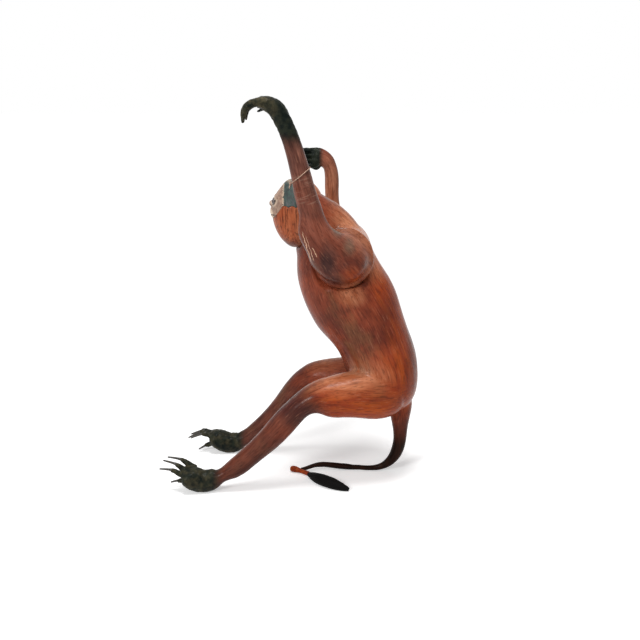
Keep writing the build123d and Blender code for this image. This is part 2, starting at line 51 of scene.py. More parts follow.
# Middle lines of the limbs as (x, y, z, radius)
SPINE = [
    (10, -38, 350, 26), (30, -38, 322, 36), (48, -38, 295, 43), (66, -38, 248, 50),
    (90, -38, 204, 49), (113, -38, 150, 48), (118, -38, 115, 45), (119, -38, 88, 40),
]
LEFT_LEG = [
    (134, -58, 118, 26), (112, -67, 118, 31), (68, -82, 120, 27), (27, -90, 117, 19), (-2, -92, 94, 16),
    (-50, -94, 45, 13), (-92, -96, 18, 10), (-111, -97, 14, 14), (-134, -97, 22, 12), (-156, -97, 32, 8),
]
RIGHT_LEG = [
    (134, -18, 118, 26), (112, -9, 118, 31), (68, 6, 114, 27), (26, 14, 110, 20), (0, 17, 88, 16),
    (-38, 21, 44, 13), (-72, 24, 18, 10), (-91, 25, 14, 14), (-114, 26, 21, 11), (-138, 27, 26, 7),
]
TAIL = [
    (138, -38, 112, 16), (140, -38, 86, 13), (139, -38, 48, 8), (137, -37, 31, 8), (128, -37, 15, 6),
    (117, -36, 6, 4), (91, -35, 3, 4), (63, -35, 5, 4), (38, -36, 8, 3), (11, -44, 5, 3),
]
LEFT_ARM = [
    (66, -80, 282, 34), (56, -87, 295, 26), (40, -96, 316, 18), (27, -100, 343, 14), (18, -100, 374, 12),
    (5, -100, 422, 10), (-8, -100, 452, 10), (-24, -100, 466, 8), (-38, -100, 465, 5), (-48, -100, 456, 4),
]
RIGHT_ARM = [
    (63, -6, 288, 34), (63, 12, 290, 26), (63, 30, 292, 20), (62, 69, 295, 14), (58, 96, 306, 13),
    (54, 102, 318, 12), (52, 102, 360, 10), (50, 102, 376, 9), (40, 102, 392, 9),
    (26, 101, 393, 7), (12, 94, 393, 4),
]
NECK_TO_CROWN = [(12, -38, 290, 20), (11, -38, 325, 30), (9, -38, 385, 26)]
TUFT_LINE = [
    (21, -57, 4, 3), (28, -67, 5, 5), (38, -79, 6, 6), (49, -88, 6, 6), (61, -95, 5, 5), (72, -99, 3, 2),
]

# Paint patches as (centre, half size, strength); among them are painted shade, painted sheen and painted
# bounce light
ORANGE_AND_BOUNCE_LIGHT = [
    ((132, -38, 138), (58, 95, 84), 1.0),
    # Under the thighs these two are orange paint and painted bounce light from the floor
    ((86, -92, 102), (84, 46, 36), 1.0),
    ((86, 16, 102), (84, 46, 36), 1.0),
    ((72, -104, 122), (72, 34, 36), 0.75),
    ((74, -98, 268), (22, 28, 22), 1.0),
    ((112, -38, 262), (30, 90, 80), 0.8),
    ((132, -38, 208), (32, 90, 64), 0.7),
    ((92, -38, 322), (46, 90, 52), 0.5),
]
TAN_AND_SHEEN = [
    # Tan paint; on the thigh tops and the flank below the shoulder these patches are a painted sheen, and on
    # the upper back partly painted light from above
    ((84, -38, 326), (56, 90, 58), 1.0),
    ((102, -38, 288), (26, 90, 44), 0.7),
    ((58, 70, 330), (72, 84, 96), 0.9),
    ((58, 14, 130), (54, 34, 26), 0.8),
    ((68, -90, 145), (72, 40, 30), 0.85),
    ((72, -86, 246), (26, 22, 20), 0.7),
]
PLUM_AND_SHADE = [
    # Dark purple-red paint, and painted shade below the shoulders, at the knees and on the rump's back edge,
    # which is turned from the lamps
    ((44, -108, 286), (18, 24, 36), 1.0),
    ((48, -95, 262), (34, 28, 22), 0.9),
    ((46, 20, 262), (34, 28, 22), 0.8),
    ((10, -98, 108), (46, 50, 34), 0.9),
    ((8, 22, 101), (46, 50, 34), 0.3),
    ((30, -80, 290), (20, 60, 40), 0.55),
    ((152, -38, 165), (16, 90, 70), 0.5),
    ((112, -60, 214), (24, 60, 40), 0.4),
    ((46, -60, 226), (30, 60, 40), 0.4),
]
WORN_AND_SHEEN = [
    ((53, -92, 324), (11, 20, 18), 0.8),
    ((67, -92, 303), (13, 20, 17), 1.0),
    # These two at the thigh creases are a painted sheen; the two by the shoulder are paint rubbed bare
    ((82, -82, 152), (26, 18, 11), 0.4),
    ((82, 6, 150), (26, 18, 11), 0.4),
]
# Pale splits in the lacquer of the left arm as (start, end, half width)
SPLITS = [
    ((15.5, -112, 327), (27.5, -110, 282), 0.6),
    ((19.5, -112, 322), (29.5, -110, 288), 0.36),
    ((27, -112, 308), (33, -112, 295), 0.5),
]


def colour(red, green, blue):
    """A colour written in screen values from 0 to 255, as linear light."""
    channels = []
    for value in (red, green, blue):
        share = value / 255
        channels.append(share / 12.92 if share <= 0.04045 else ((share + 0.055) / 1.055) ** 2.4)
    return (*channels, 1.0)


def ease(values, low, high):
    """0 at low, 1 at high and smooth between."""
    share = np.clip((values - low) / (high - low), 0.0, 1.0)
    return share * share * (3.0 - 2.0 * share)


def limb_line(points, per_span=8):
    """Close points along the smooth line through a limb's points, in metres, with radii."""
    table = np.array(points, float) * MM
    padded = np.vstack([2 * table[0] - table[1], table, 2 * table[-1] - table[-2]])
    line = []
    for span in range(len(table) - 1):
        a, b, c, d = padded[span : span + 4]
        for step in range(per_span):
            t = step / per_span
            curve = 2 * b + (c - a) * t + (2 * a - 5 * b + 4 * c - d) * t**2 + (3 * b - a - 3 * c + d) * t**3
            line.append(curve / 2)
    line.append(table[-1])
    return np.array(line)


def along(points, places, side=(0, 1, 0)):
    """Each place as (across, over, along) a limb, and its distance from the middle over the radius."""
    line = limb_line(points)
    middle = line[:, :3]
    tangent = np.gradient(middle, axis=0)
    length = np.linalg.norm(tangent, axis=1)
    run = np.concatenate([[0], np.cumsum(np.linalg.norm(np.diff(middle, axis=0), axis=1))])
    tangent = tangent / length[:, None]
    spread = np.cross(tangent, np.cross(np.array(side, float), tangent))
    spread = spread / np.linalg.norm(spread, axis=1)[:, None]
    upright = np.cross(tangent, spread)
    distance = np.stack([np.sum((places - point) ** 2, axis=1) for point in middle], axis=1)
    nearest = np.argmin(distance, axis=1)
    offset = places - middle[nearest]
    ahead = np.sum(offset * tangent[nearest], axis=1)
    offset = offset - ahead[:, None] * tangent[nearest]
    across = np.sum(offset * spread[nearest], axis=1)
    over = np.sum(offset * upright[nearest], axis=1)
    flow = np.stack([across, over, run[nearest] + ahead], axis=1)
    return flow, np.linalg.norm(offset, axis=1) / line[nearest, 3]


def places_of(mesh):
    """A mesh's points as an array."""
    places = np.zeros(len(mesh.vertices) * 3)
    mesh.vertices.foreach_get("co", places)
    return places.reshape(-1, 3)


def set_places(mesh, places):
    """Moves a mesh's points."""
    mesh.vertices.foreach_set("co", places.ravel())
    mesh.update()


def outward(mesh):
    """The direction out of the surface at each of a mesh's points."""
    normals = np.zeros(len(mesh.vertices) * 3)
    mesh.vertex_normals.foreach_get("vector", normals)
    return normals.reshape(-1, 3)


def relax(mesh, weights, rounds):
    """Draws each point towards the middle of its neighbours, by its own weight."""
    edges = np.zeros(len(mesh.edges) * 2, np.int32)
    mesh.edges.foreach_get("vertices", edges)
    first, second = edges.reshape(-1, 2).T
    count = len(mesh.vertices)
    neighbours = np.bincount(first, minlength=count) + np.bincount(second, minlength=count)
    places = places_of(mesh)
    for _ in range(rounds):
        total = np.zeros_like(places)
        for axis in range(3):
            total[:, axis] += np.bincount(first, places[second, axis], count)
            total[:, axis] += np.bincount(second, places[first, axis], count)
        places += weights[:, None] * (total / neighbours[:, None] - places)
    set_places(mesh, places)


def soften(piece, rounds):
    """Rounds all of a piece's edges a little."""
    relax(piece.data, np.full(len(piece.data.vertices), SOFTENING), rounds)


def store(mesh, name, values):
    """Keeps a number or a vector for each point of a mesh."""
    kind = "FLOAT_VECTOR" if values.ndim == 2 else "FLOAT"
    layer = mesh.attributes.new(name, kind, "POINT")
    layer.data.foreach_set("vector" if values.ndim == 2 else "value", values.astype(np.float32).ravel())


def repaint(mesh, name, values):
    """Changes the numbers that store() kept."""
    mesh.attributes[name].data.foreach_set("value", values.astype(np.float32))


def patches(places, table):
    """How much of a paint lies on each place, from soft patches."""
    amount = np.zeros(len(places))
    for centre, half_size, strength in table:
        reach = np.linalg.norm((places / MM - centre) / half_size, axis=1)
        amount = np.maximum(amount, strength * ease(1.0 - reach, 0.0, 0.75))
    return amount


def ripple(points, scale):
    """Smooth noise from -1 to 1 at each point."""
    return np.array([noise.noise(Vector(point)) for point in points * scale])


def fused(name, nodes, voxel, plugs=(), swells=()):
    """One closed mesh over several CAD nodes.

    A plug (middle, axis, radius, length) fills a hollow, and a swell is drawn tight round its points.
    """
    shell = bmesh.new()
    for node in nodes:
        shell.from_mesh(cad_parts[node].data)
    bmesh.ops.remove_doubles(shell, verts=shell.verts, dist=0.002 * MM)
    for middle, axis, radius, length in plugs:
        turn = Vector((0, 0, 1)).rotation_difference(Vector(axis)).to_matrix().to_4x4()
        place = Matrix.Translation(Vector(middle) * MM) @ turn
        bmesh.ops.create_cone(
            shell,
            cap_ends=True,
            segments=PLUG_SIDES,
            radius1=radius * MM,
            radius2=radius * MM,
            depth=length * MM,
            matrix=place,
        )
    for points in swells:
        corners = [shell.verts.new(point) for point in points]
        hull = bmesh.ops.convex_hull(shell, input=corners)
        spare = dict.fromkeys(hull["geom_interior"] + hull["geom_unused"])
        loose = [corner for corner in spare if isinstance(corner, bmesh.types.BMVert)]
        bmesh.ops.delete(shell, geom=loose, context="VERTS")
    mesh = bpy.data.meshes.new(name)
    shell.to_mesh(mesh)
    shell.free()
    piece = bpy.data.objects.new(name, mesh)
    SCENE.collection.objects.link(piece)
    remesh = piece.modifiers.new("remesh", "REMESH")
    remesh.mode = "VOXEL"
    remesh.voxel_size = voxel * MM
    shown = piece.evaluated_get(bpy.context.evaluated_depsgraph_get())
    piece.data = bpy.data.meshes.new_from_object(shown)
    piece.modifiers.clear()
    piece.data.polygons.foreach_set("use_smooth", [True] * len(piece.data.polygons))
    return piece


def dress(piece, body, nodes, made):
    """Sets a piece on its body in the place of its nodes, with its material."""
    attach(piece, body)
    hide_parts(*nodes)
    paint_with(piece, made)


def finish_skin(piece, flow, dark, side_flow=None, side_share=None, tool_marks=0.25):
    """Carves faint tool marks into a skin and keeps its hair lines and paint, painted shade and painted sheen
    included.
    """
    mesh = piece.data
    places = places_of(mesh)
    grain = ripple(flow * (1.0, 1.0, 0.35), 120.0)
    lump = ripple(places, 260.0)
    depth = tool_marks * grain + 0.55 * dark * lump
    set_places(mesh, places + outward(mesh) * depth[:, None] * MM)
    store(mesh, "flow", flow)
    store(mesh, "side_flow", flow if side_flow is None else side_flow)
    store(mesh, "side_share", np.zeros(len(places)) if side_share is None else side_share)
    store(mesh, "orange", patches(places, ORANGE_AND_BOUNCE_LIGHT))
    store(mesh, "tan", patches(places, TAN_AND_SHEEN))
    store(mesh, "plum_and_shade", patches(places, PLUM_AND_SHADE))
    store(mesh, "worn_and_sheen", patches(places, WORN_AND_SHEEN))
    store(mesh, "dark", dark)


def material(name):
    """A new node material and its shader."""
    made = bpy.data.materials.new(name)
    made.use_nodes = True
    return made, made.node_tree, made.node_tree.nodes["Principled BSDF"]


def add(tree, kind, inputs=None, **settings):
    """A node with its settings; an input that is a socket is linked, and any other is a value."""
    made = tree.nodes.new(kind)
    for key, value in settings.items():
        setattr(made, key, value)
    for key, value in (inputs or {}).items():
        if isinstance(value, bpy.types.NodeSocket):
            tree.links.new(value, made.inputs[key])
        else:
            made.inputs[key].default_value = value
    return made


def mixed(tree, share, below, above):
    """Two colours mixed by a share."""
    return add(tree, "ShaderNodeMix", {0: share, 6: below, 7: above}, data_type="RGBA").outputs[2]


def sums(tree, operation, first, second):
    """One sum of two numbers."""
    return add(tree, "ShaderNodeMath", {0: first, 1: second}, operation=operation, use_clamp=True).outputs[0]


def ramp(tree, value, low, high, start=0.0, end=1.0):
    """A value mapped smoothly from one range to another."""
    inputs = {0: value, 1: low, 2: high, 3: start, 4: end}
    return add(tree, "ShaderNodeMapRange", inputs, interpolation_type="SMOOTHSTEP").outputs[0]


def kept(tree, name, vector=False):
    """What store() kept on the mesh."""
    return add(tree, "ShaderNodeAttribute", attribute_name=name).outputs["Vector" if vector else "Fac"]


def cloud(tree, scale, vector=None, detail=3.0, roughness=0.55):
    """Noise over the rest shape, or over a vector that is given."""
    if vector is None:
        vector = add(tree, "ShaderNodeTexCoord").outputs["Object"]
    inputs = {"Vector": vector, "Scale": scale, "Detail": detail, "Roughness": roughness}
    return add(tree, "ShaderNodeTexNoise", inputs).outputs["Fac"]


def stretched(tree, name, scale):
    """The flow kept on the mesh, stretched so that noise on it makes lines along the limb."""
    vector = kept(tree, name, True)
    return add(tree, "ShaderNodeVectorMath", {0: vector, 1: scale}, operation="MULTIPLY").outputs[0]


def bumps(tree, height, distance, strength=1.0, below=None):
    """A bump of a height in metres, laid on another one."""
    inputs = {"Height": height, "Distance": distance, "Strength": strength}
    if below is not None:
        inputs["Normal"] = below
    return add(tree, "ShaderNodeBump", inputs).outputs[0]


def hair_lines(tree, scale, detail=2.5):
    """Noise drawn out along the limb, passing over into the side limb's direction."""
    main = cloud(tree, 1.0, stretched(tree, "flow", scale), detail)
    side = cloud(tree, 1.0, stretched(tree, "side_flow", scale), detail)
    inputs = {0: kept(tree, "side_share"), 2: main, 3: side}
    return add(tree, "ShaderNodeMix", inputs, data_type="FLOAT").outputs[0]


def dot(tree, vector, direction):
    """How far a vector runs along a direction."""
    inputs = {0: vector, 1: direction}
    return add(tree, "ShaderNodeVectorMath", inputs, operation="DOT_PRODUCT").outputs["Value"]


def split_lines(tree):
    """1 inside the pale splits of the left arm's lacquer and 0 elsewhere."""
    place = add(tree, "ShaderNodeTexCoord").outputs["Object"]
    sway = ramp(tree, cloud(tree, 150.0), 0.2, 0.8, -0.9 * MM, 0.9 * MM)
    total = 0.0
    for start, end, half_width in SPLITS:
        first = Vector(start) * MM
        run = Vector(end) * MM - first
        across = run.cross(Vector((0, 1, 0))).normalized()
        offset = add(tree, "ShaderNodeVectorMath", {0: place, 1: first}, operation="SUBTRACT").outputs[0]
        share = dot(tree, offset, run / run.length_squared)
        gap = add(tree, "ShaderNodeMath", {0: dot(tree, offset, across), 1: sway}, operation="ADD").outputs[0]
        gap = add(tree, "ShaderNodeMath", {0: gap}, operation="ABSOLUTE").outputs[0]
        line = ramp(tree, gap, half_width * MM, 0.4 * half_width * MM)
        line = sums(tree, "MULTIPLY", line, ramp(tree, share, 0.0, 0.15))
        line = sums(tree, "MULTIPLY", line, ramp(tree, share, 1.0, 0.85))
        total = sums(tree, "MAXIMUM", line, total)
    return sums(tree, "MULTIPLY", total, kept(tree, "outer"))


def lacquer():
    """Red-brown paint with carved hair lines under rubbed lacquer, green-black on the hands and feet, with
    painted shade and painted highlights in places.
    """
    made, tree, shader = material("lacquer")
    fine = hair_lines(tree, (620.0, 620.0, 70.0), 3.0)
    broad = hair_lines(tree, (130.0, 130.0, 18.0))
    patchy = cloud(tree, 20.0, detail=4.0)
    specks = cloud(tree, 900.0, detail=1.0)
    wide = ramp(tree, broad, 0.3, 0.7)
    blotchy = cloud(tree, 34.0, stretched(tree, "flow", (1.0, 1.0, 0.6)), 4.0)
    ground = mixed(tree, ramp(tree, patchy, 0.36, 0.64), colour(92, 40, 29), colour(144, 68, 44))
    ground = mixed(tree, ramp(tree, blotchy, 0.5, 0.7, 0.0, 0.6), ground, colour(116, 76, 50))
    # Orange paint, and under the thighs painted bounce light from the floor
    warm_paint = mixed(tree, wide, colour(136, 46, 12), colour(170, 74, 20))
    warm = mixed(tree, kept(tree, "orange"), ground, warm_paint)
    # Tan paint and painted sheen
    tan_and_sheen_paint = mixed(tree, wide, colour(162, 90, 56), colour(200, 130, 94))
    light = mixed(tree, kept(tree, "tan"), warm, tan_and_sheen_paint)
    # Dark purple-red paint and painted shade in patches
    plum_and_shade_share = sums(tree, "MULTIPLY", kept(tree, "plum_and_shade"), ramp(tree, patchy, 0.2, 0.55, 0.55, 1.0))
    deep = mixed(tree, plum_and_shade_share, light, colour(54, 25, 23))
    brown_paint = mixed(tree, wide, colour(72, 43, 36), colour(124, 82, 69))
    brown = mixed(tree, kept(tree, "umber"), deep, brown_paint)
    # Greyish paint rubbed bare by the shoulder, and painted sheen at the thigh creases
    worn_and_sheen_share = sums(tree, "MULTIPLY", kept(tree, "worn_and_sheen"), ramp(tree, broad, 0.25, 0.5))
    worn_and_sheen = mixed(tree, worn_and_sheen_share, brown, colour(106, 90, 74))
    sooty = mixed(tree, kept(tree, "soot"), worn_and_sheen, mixed(tree, wide, colour(18, 9, 5), colour(44, 22, 12)))
    stroke = ramp(tree, kept(tree, "stroke"), 0.0, 1.0, 0.38, 0.66)
    lines = sums(tree, "MULTIPLY", ramp(tree, fine, 0.48, 0.38), stroke)
    lined = mixed(tree, lines, sooty, colour(40, 16, 10))
    clean = ramp(tree, kept(tree, "soot"), 0.6, 0.0)
    # Pale pink streaks in the tan patches: painted highlights of the lacquer's sheen
    sheen_streak_share = ramp(tree, kept(tree, "tan"), 0.0, 1.0, 0.15, 0.4)
    streaks = sums(tree, "MULTIPLY", ramp(tree, fine, 0.58, 0.7), sheen_streak_share)
    painted_sheen = sums(tree, "MULTIPLY", streaks, clean)
    lit = mixed(tree, painted_sheen, lined, colour(206, 144, 112))
    rings = cloud(tree, 1.0, stretched(tree, "flow", (60.0, 60.0, 800.0)), 2.0)
    band = sums(tree, "MULTIPLY", kept(tree, "band"), ramp(tree, rings, 0.54, 0.68, 0.0, 0.36))
    banded = mixed(tree, band, lit, colour(160, 128, 110))
    mottled = mixed(tree, ramp(tree, cloud(tree, 120.0), 0.36, 0.66), colour(11, 18, 16), colour(33, 37, 29))
    edge = sums(tree, "ADD", kept(tree, "dark"), ramp(tree, patchy, 0.3, 0.7, -0.1, 0.1))
    dark = ramp(tree, edge, 0.1, 0.9)
    brush = ramp(tree, cloud(tree, 150.0, detail=5.0), 0.34, 0.74, 0.0, 0.75)
    dry = sums(tree, "MULTIPLY", kept(tree, "dry"), brush)
    brushed = mixed(tree, dry, mottled, colour(84, 76, 55))
    hands = mixed(tree, dark, banded, brushed)
    split = split_lines(tree)
    tree.links.new(mixed(tree, split, hands, colour(214, 170, 140)), shader.inputs["Base Color"])
    smooth = ramp(tree, broad, 0.3, 0.7, 0.24, 0.4)
    tree.links.new(sums(tree, "ADD", smooth, sums(tree, "MULTIPLY", dark, 0.14)), shader.inputs["Roughness"])
    height = sums(tree, "ADD", sums(tree, "MULTIPLY", fine, 0.8), sums(tree, "MULTIPLY", specks, 0.2))
    height = add(tree, "ShaderNodeMath", {0: height, 1: split}, operation="SUBTRACT").outputs[0]
    tree.links.new(bumps(tree, height, 0.6 * MM, 0.6), shader.inputs["Normal"])
    black = sums(tree, "MAXIMUM", dark, kept(tree, "soot"))
    tree.links.new(ramp(tree, black, 0.0, 1.0, 0.24, 0.06), shader.inputs["Coat Weight"])
    shader.inputs["Coat Roughness"].default_value = 0.18
    shader.inputs["Coat IOR"].default_value = 1.3
    shader.inputs["Specular IOR Level"].default_value = 0.05
    return made


def hood_paint():
    """Green-black paint dabbed on in short hair strokes, pale where it ends, with a painted sheen across the
    top of the head.
    """
    made, tree, shader = material("hood_paint")
    dabs = cloud(tree, 1.0, stretched(tree, "flow", (380.0, 380.0, 150.0)), 3.0)
    dark = mixed(tree, ramp(tree, dabs, 0.38, 0.66), colour(11, 25, 23), colour(36, 57, 51))
    # The pale rim is paint along the hood's front edge and a painted sheen over the top of the head
    rim = sums(tree, "MULTIPLY", kept(tree, "rim"), ramp(tree, cloud(tree, 420.0), 0.36, 0.5))
    tree.links.new(mixed(tree, rim, dark, colour(196, 170, 146)), shader.inputs["Base Color"])
    tree.links.new(ramp(tree, dabs, 0.3, 0.7, 0.42, 0.62), shader.inputs["Roughness"])
    tree.links.new(bumps(tree, dabs, 0.7 * MM, 0.6), shader.inputs["Normal"])
    return made


def face_paint():
    """Pale paint on the face, darker round the eyes and whiter at the mouth."""
    made, tree, shader = material("face_paint")
    blotch = cloud(tree, 190.0)
    base = mixed(tree, ramp(tree, blotch, 0.36, 0.64), colour(122, 94, 79), colour(158, 129, 110))
    white = mixed(tree, kept(tree, "white"), base, colour(222, 200, 176))
    shade_share = sums(tree, "MULTIPLY", kept(tree, "shade"), ramp(tree, blotch, 0.2, 0.5, 0.6, 1.0))
    shade = mixed(tree, shade_share, white, colour(52, 36, 30))
    tree.links.new(shade, shader.inputs["Base Color"])
    tree.links.new(ramp(tree, blotch, 0.3, 0.7, 0.45, 0.65), shader.inputs["Roughness"])
    tree.links.new(bumps(tree, cloud(tree, 800.0), 0.4 * MM, 0.5), shader.inputs["Normal"])
    return made


def eye_glass():
    """A dark glass bead with a brown iris."""
    made, tree, shader = material("eye_glass")
    threads = cloud(tree, 2500.0)
    iris = mixed(tree, ramp(tree, threads, 0.35, 0.65), colour(30, 16, 8), colour(70, 38, 16))
    tree.links.new(iris, shader.inputs["Base Color"])
    tree.links.new(ramp(tree, threads, 0.2, 0.8, 0.04, 0.1), shader.inputs["Roughness"])
    shader.inputs["Coat Weight"].default_value = 1.0
    shader.inputs["Coat Roughness"].default_value = 0.03
    return made


def claw_paint():
    """Dark paint on iron wire, rubbed towards rust."""
    made, tree, shader = material("claw_paint")
    rub = cloud(tree, 500.0)
    base = mixed(tree, ramp(tree, rub, 0.4, 0.65), colour(20, 18, 14), colour(56, 49, 37))
    tree.links.new(base, shader.inputs["Base Color"])
    tree.links.new(ramp(tree, rub, 0.3, 0.7, 0.4, 0.65), shader.inputs["Roughness"])
    tree.links.new(bumps(tree, rub, 0.3 * MM, 0.6), shader.inputs["Normal"])
    return made


def tuft_paint():
    """Black paint over the tuft's strands."""
    made, tree, shader = material("tuft_paint")
    strands = cloud(tree, 1.0, stretched(tree, "flow", (900.0, 900.0, 60.0)))
    base = mixed(tree, ramp(tree, strands, 0.4, 0.7), colour(2, 1, 1), colour(10, 7, 6))
    tree.links.new(base, shader.inputs["Base Color"])
    tree.links.new(ramp(tree, strands, 0.3, 0.7, 0.6, 0.8), shader.inputs["Roughness"])
    tree.links.new(bumps(tree, strands, 0.8 * MM, 0.7), shader.inputs["Normal"])
    shader.inputs["Specular IOR Level"].default_value = 0.08
    return made


def twine_fibre():
    """Tan plant fibre."""
    made, tree, shader = material("twine_fibre")
    fibre = cloud(tree, 1600.0)
    base = mixed(tree, ramp(tree, fibre, 0.35, 0.65), colour(140, 106, 86), colour(192, 158, 136))
    tree.links.new(base, shader.inputs["Base Color"])
    tree.links.new(bumps(tree, fibre, 0.2 * MM, 0.7), shader.inputs["Normal"])
    shader.inputs["Roughness"].default_value = 0.8
    shader.inputs["Sheen Weight"].default_value = 0.2
    return made


def dowel_wood():
    """Bare turned wood."""
    made, tree, shader = material("dowel_wood")
    grain = cloud(tree, 300.0)
    base = mixed(tree, ramp(tree, grain, 0.35, 0.65), colour(150, 112, 72), colour(186, 148, 102))
    tree.links.new(base, shader.inputs["Base Color"])
    tree.links.new(bumps(tree, grain, 0.2 * MM, 0.4), shader.inputs["Normal"])
    shader.inputs["Roughness"].default_value = 0.6
    return made


def paint_with(piece, made):
    """Gives a piece its one material."""
    piece.data.materials.clear()
    piece.data.materials.append(made)


LACQUER = lacquer()
HOOD = hood_paint()
FACE = face_paint()
CLAW = claw_paint()
TUFT = tuft_paint()
TWINE = twine_fibre()


# Shoulder sockets, seams at the elbows and the arms' lines, in millimetres
MIDDLE_Y = -38.0
SHOULDER_X = 63.0
SHOULDER_Z = 288.5
SEAM_GAP = 0.2
ARM_LINES = {"left": (LEFT_ARM, (0, 1, 0)), "right": (RIGHT_ARM, (1, 0, 0))}
ELBOWS = {"left": (17.7, -100.0, 374.0), "right": (54.5, 101.6, 317.0)}
ELBOW_AXES = {"left": (-0.2225, 0.0, 0.9749), "right": (-0.08, 0.0, 0.9968)}
ELBOW_PLUG = (10.4, 34.0)
# How far along each arm its root swells, where the root starts to, and the lip that covers the socket's edge
SWELL_RUNS = {"left": 40.0, "right": 36.0}
SWELL_OUT = 35.5
SOCKET_OUT = 33.0
SOCKET_RADIUS = 35.0
LIP = 1.9
LIP_ROOM = 2.3
# Angles round the shoulder between which flank and arm meet in a narrow crease, and their fullness there
CREASE_FROM = 232.0
CREASE_TO = 350.0
CREASE_FADE = 18.0
CREASE_DEPTH = 4.5
CREASE_WIDTH = 3.5
FLANK_OUT = 44.5
FULL_RADIUS = 36.9
FULL_DEPTH = 14.0
# How far the left arm's root stands forward of its solid, and between which heights
FRONT_SWELL = 8.0
FRONT_HEIGHTS = (256.0, 284.0, 316.0, 346.0)
# Past this height or width a place belongs to the forearm's side of the elbow
FOREARM_STARTS = {"left": (0.0, 0.0, 340.0), "right": (0.0, 60.0, 0.0)}
# Heights of the pale rings at the left elbow, and of the left hand's dark paint
BAND_HEIGHTS = (350.0, 362.0, 382.0, 392.0)
HAND_HEIGHTS = (398.0, 448.0)
# Ankles, from which the feet's dark paint and the shins' soot are measured
ANKLE_X = {"left": -91.0, "right": -70.0}
# The nape between the upper back and the head, which the skin fills, slightly below both
NAPE_FRONT = 22.0
NAPE_LOW = 326.0
NAPE_HIGH = 362.0
NAPE_INSET = 0.98


def from_shoulder(places):
    """Distance from the shoulders' axis and distance out from the middle, in millimetres."""
    reach = np.hypot(places[:, 0] / MM - SHOULDER_X, places[:, 2] / MM - SHOULDER_Z)
    return reach, np.abs(places[:, 1] / MM - MIDDLE_Y)


def under_shoulder(places, early=0.0):
    """1 under the shoulder, from the chest round to the back, and 0 above it."""
    angle = np.degrees(np.arctan2(places[:, 2] / MM - SHOULDER_Z, places[:, 0] / MM - SHOULDER_X)) % 360.0
    start = CREASE_FROM - early
    return ease(angle, start, start + CREASE_FADE) * ease(-angle, -CREASE_TO, CREASE_FADE - CREASE_TO)


def move_out(places, growth):
    """Moves places away from the middle plane by so many millimetres."""
    places[:, 1] += np.sign(places[:, 1] - MIDDLE_Y * MM) * growth * MM


def widen(places, growth):
    """Moves places away from the shoulders' axis by so many millimetres."""
    spoke = places[:, [0, 2]] / MM - (SHOULDER_X, SHOULDER_Z)
    length = np.maximum(np.linalg.norm(spoke, axis=1), 1.0)
    places[:, [0, 2]] += spoke * (growth / length)[:, None] * MM


